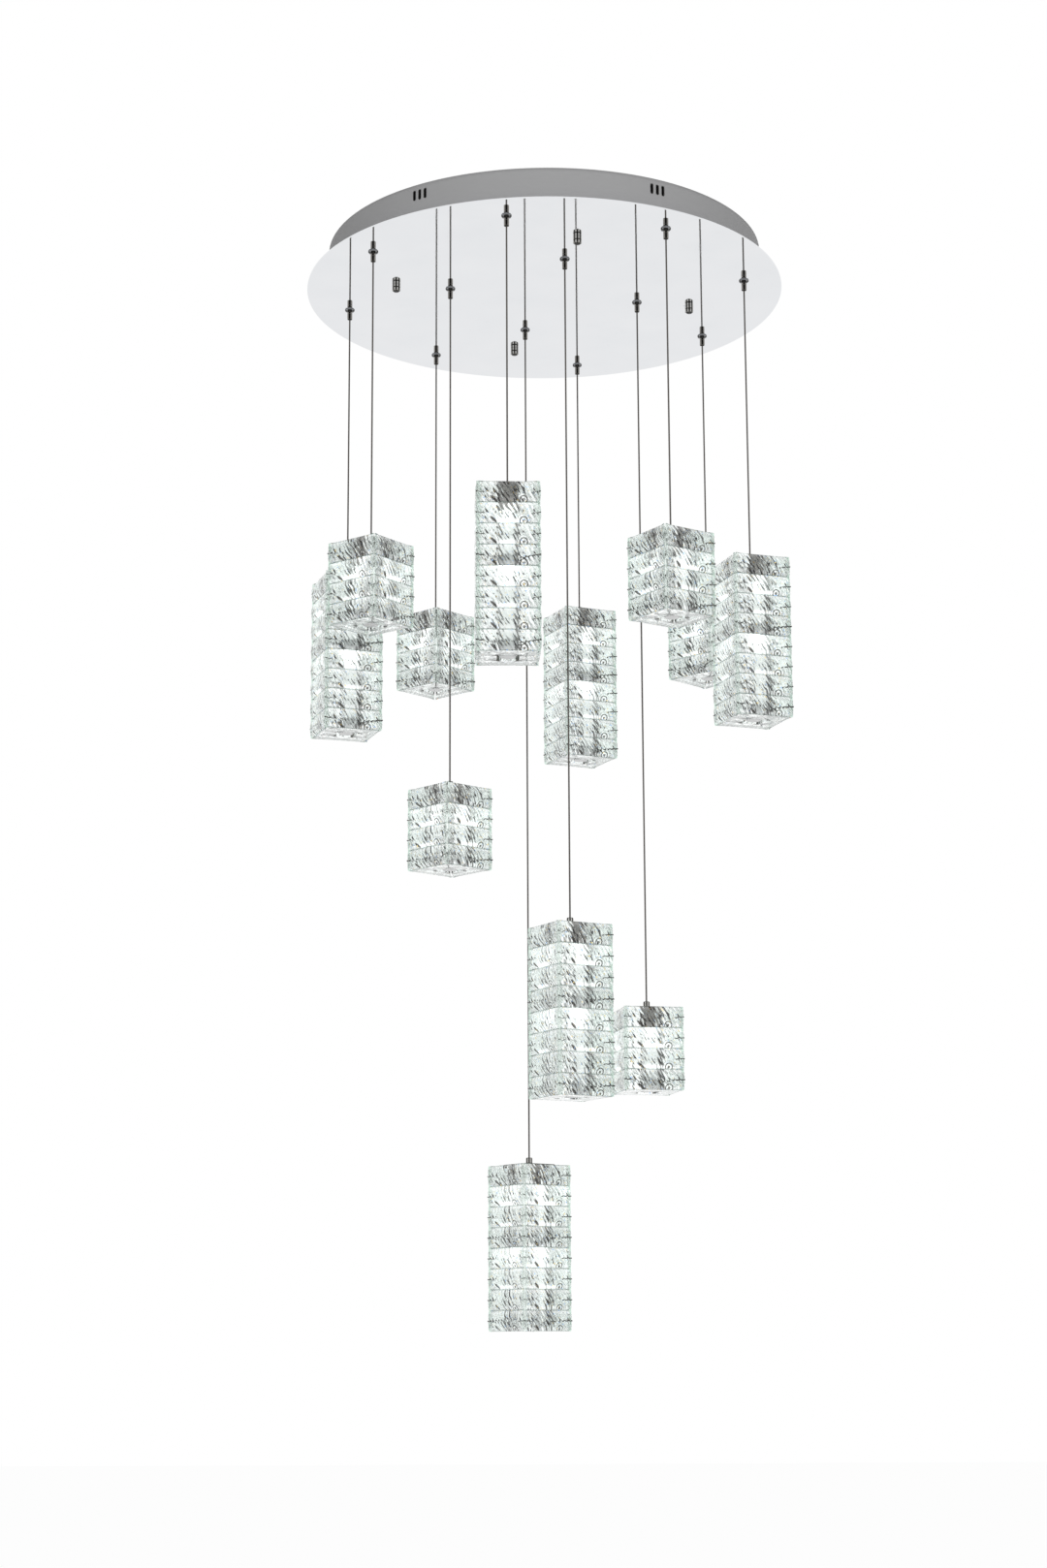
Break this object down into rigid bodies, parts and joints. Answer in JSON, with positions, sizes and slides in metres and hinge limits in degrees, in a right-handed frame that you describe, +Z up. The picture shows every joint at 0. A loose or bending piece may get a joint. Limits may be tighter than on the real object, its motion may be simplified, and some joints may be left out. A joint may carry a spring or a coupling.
{
  "type": "cluster pendant light",
  "caption": "Round mirror-polished ceiling canopy with a cluster of square shades of stacked glass bars that hang on thin cords at mixed heights, each round a lit metal core.",
  "frame": {"origin": "centre of the canopy on the ceiling plane, where the spider's top face meets the ceiling", "axes": "+Z up, out of the ceiling face; +X to the picture's right; +Y away from the picture's camera"},
  "size_m": [0.5999, 0.6, 1.339],
  "materials": {
    "mirror_plate": "mirror polished",
    "satin_drum": "satin",
    "zinc_steel": "zinc plated",
    "driver_case": "moulded",
    "terminal_plastic": "moulded",
    "polished_chrome": "polished",
    "cord_jacket": "clear jacket over tinned braid",
    "core_metal": "satin",
    "light_rod": "frosted",
    "cast_glass": "textured cast"
  },
  "bodies": {
    "canopy": {"canopy_plate": "mirror_plate", "canopy_drum": "satin_drum", "ceiling_spider": "zinc_steel", "led_driver": "driver_case", "terminal_block": "terminal_plastic", "hanger_studs": "zinc_steel", "thumb_nuts": "polished_chrome", "grip_bushes": "polished_chrome", "grip_barrels": "polished_chrome", "grip_locknuts": "zinc_steel"},
    "cord_outer_1": {"cord_outer_1": "cord_jacket"},
    "pendant_outer_1": {"core_outer_1": "core_metal", "light_rods_outer_1": "light_rod", "glass_outer_1": "cast_glass"},
    "cord_outer_2": {"cord_outer_2": "cord_jacket"},
    "pendant_outer_2": {"core_outer_2": "core_metal", "light_rods_outer_2": "light_rod", "glass_outer_2": "cast_glass"},
    "cord_outer_3": {"cord_outer_3": "cord_jacket"},
    "pendant_outer_3": {"core_outer_3": "core_metal", "light_rods_outer_3": "light_rod", "glass_outer_3": "cast_glass"},
    "cord_outer_4": {"cord_outer_4": "cord_jacket"},
    "pendant_outer_4": {"core_outer_4": "core_metal", "light_rods_outer_4": "light_rod", "glass_outer_4": "cast_glass"},
    "cord_outer_5": {"cord_outer_5": "cord_jacket"},
    "pendant_outer_5": {"core_outer_5": "core_metal", "light_rods_outer_5": "light_rod", "glass_outer_5": "cast_glass"},
    "cord_outer_6": {"cord_outer_6": "cord_jacket"},
    "pendant_outer_6": {"core_outer_6": "core_metal", "light_rods_outer_6": "light_rod", "glass_outer_6": "cast_glass"},
    "cord_outer_7": {"cord_outer_7": "cord_jacket"},
    "pendant_outer_7": {"core_outer_7": "core_metal", "light_rods_outer_7": "light_rod", "glass_outer_7": "cast_glass"},
    "cord_outer_8": {"cord_outer_8": "cord_jacket"},
    "pendant_outer_8": {"core_outer_8": "core_metal", "light_rods_outer_8": "light_rod", "glass_outer_8": "cast_glass"},
    "cord_inner_1": {"cord_inner_1": "cord_jacket"},
    "pendant_inner_1": {"core_inner_1": "core_metal", "light_rods_inner_1": "light_rod", "glass_inner_1": "cast_glass"},
    "cord_inner_2": {"cord_inner_2": "cord_jacket"},
    "pendant_inner_2": {"core_inner_2": "core_metal", "light_rods_inner_2": "light_rod", "glass_inner_2": "cast_glass"},
    "cord_inner_3": {"cord_inner_3": "cord_jacket"},
    "pendant_inner_3": {"core_inner_3": "core_metal", "light_rods_inner_3": "light_rod", "glass_inner_3": "cast_glass"},
    "cord_inner_4": {"cord_inner_4": "cord_jacket"},
    "pendant_inner_4": {"core_inner_4": "core_metal", "light_rods_inner_4": "light_rod", "glass_inner_4": "cast_glass"}
  },
  "joints": [
    {"name": "swing_outer_1", "type": "hinge", "parent": "canopy", "child": "cord_outer_1", "pos_m": [0.24975, -0.04629, -0.0632], "axis": [1, 0, 0], "range_deg": [-3, 3]},
    {"name": "height_outer_1", "type": "slide", "parent": "cord_outer_1", "child": "pendant_outer_1", "axis": [0, 0, 1], "range_m": [0, 0.25], "deforming": ["cord_outer_1"]},
    {"name": "swing_outer_2", "type": "hinge", "parent": "canopy", "child": "cord_outer_2", "pos_m": [0.20933, 0.14387, -0.0632], "axis": [1, 0, 0], "range_deg": [-3, 3]},
    {"name": "height_outer_2", "type": "slide", "parent": "cord_outer_2", "child": "pendant_outer_2", "axis": [0, 0, 1], "range_m": [0, 0.25], "deforming": ["cord_outer_2"]},
    {"name": "swing_outer_3", "type": "hinge", "parent": "canopy", "child": "cord_outer_3", "pos_m": [0.04629, 0.24975, -0.0632], "axis": [1, 0, 0], "range_deg": [-3, 3]},
    {"name": "height_outer_3", "type": "slide", "parent": "cord_outer_3", "child": "pendant_outer_3", "axis": [0, 0, 1], "range_m": [0, 0.25], "deforming": ["cord_outer_3"]},
    {"name": "swing_outer_4", "type": "hinge", "parent": "canopy", "child": "cord_outer_4", "pos_m": [-0.14387, 0.20933, -0.0632], "axis": [1, 0, 0], "range_deg": [-3, 3]},
    {"name": "height_outer_4", "type": "slide", "parent": "cord_outer_4", "child": "pendant_outer_4", "axis": [0, 0, 1], "range_m": [0, 0.25], "deforming": ["cord_outer_4"]},
    {"name": "swing_outer_5", "type": "hinge", "parent": "canopy", "child": "cord_outer_5", "pos_m": [-0.24975, 0.04629, -0.0632], "axis": [1, 0, 0], "range_deg": [-3, 3]},
    {"name": "height_outer_5", "type": "slide", "parent": "cord_outer_5", "child": "pendant_outer_5", "axis": [0, 0, 1], "range_m": [0, 0.25], "deforming": ["cord_outer_5"]},
    {"name": "swing_outer_6", "type": "hinge", "parent": "canopy", "child": "cord_outer_6", "pos_m": [-0.20933, -0.14387, -0.0632], "axis": [1, 0, 0], "range_deg": [-3, 3]},
    {"name": "height_outer_6", "type": "slide", "parent": "cord_outer_6", "child": "pendant_outer_6", "axis": [0, 0, 1], "range_m": [0, 0.25], "deforming": ["cord_outer_6"]},
    {"name": "swing_outer_7", "type": "hinge", "parent": "canopy", "child": "cord_outer_7", "pos_m": [-0.04629, -0.24975, -0.0632], "axis": [1, 0, 0], "range_deg": [-3, 3]},
    {"name": "height_outer_7", "type": "slide", "parent": "cord_outer_7", "child": "pendant_outer_7", "axis": [0, 0, 1], "range_m": [0, 0.25], "deforming": ["cord_outer_7"]},
    {"name": "swing_outer_8", "type": "hinge", "parent": "canopy", "child": "cord_outer_8", "pos_m": [0.14387, -0.20933, -0.0632], "axis": [1, 0, 0], "range_deg": [-3, 3]},
    {"name": "height_outer_8", "type": "slide", "parent": "cord_outer_8", "child": "pendant_outer_8", "axis": [0, 0, 1], "range_m": [0, 0.25], "deforming": ["cord_outer_8"]},
    {"name": "swing_inner_1", "type": "hinge", "parent": "canopy", "child": "cord_inner_1", "pos_m": [0.11853, 0.02433, -0.0632], "axis": [1, 0, 0], "range_deg": [-3, 3]},
    {"name": "height_inner_1", "type": "slide", "parent": "cord_inner_1", "child": "pendant_inner_1", "axis": [0, 0, 1], "range_m": [0, 0.25], "deforming": ["cord_inner_1"]},
    {"name": "swing_inner_2", "type": "hinge", "parent": "canopy", "child": "cord_inner_2", "pos_m": [-0.02433, 0.11853, -0.0632], "axis": [1, 0, 0], "range_deg": [-3, 3]},
    {"name": "height_inner_2", "type": "slide", "parent": "cord_inner_2", "child": "pendant_inner_2", "axis": [0, 0, 1], "range_m": [0, 0.25], "deforming": ["cord_inner_2"]},
    {"name": "swing_inner_3", "type": "hinge", "parent": "canopy", "child": "cord_inner_3", "pos_m": [-0.11853, -0.02433, -0.0632], "axis": [1, 0, 0], "range_deg": [-3, 3]},
    {"name": "height_inner_3", "type": "slide", "parent": "cord_inner_3", "child": "pendant_inner_3", "axis": [0, 0, 1], "range_m": [0, 0.25], "deforming": ["cord_inner_3"]},
    {"name": "swing_inner_4", "type": "hinge", "parent": "canopy", "child": "cord_inner_4", "pos_m": [0.02433, -0.11853, -0.0632], "axis": [1, 0, 0], "range_deg": [-3, 3]},
    {"name": "height_inner_4", "type": "slide", "parent": "cord_inner_4", "child": "pendant_inner_4", "axis": [0, 0, 1], "range_m": [0, 0.25], "deforming": ["cord_inner_4"]}
  ]
}
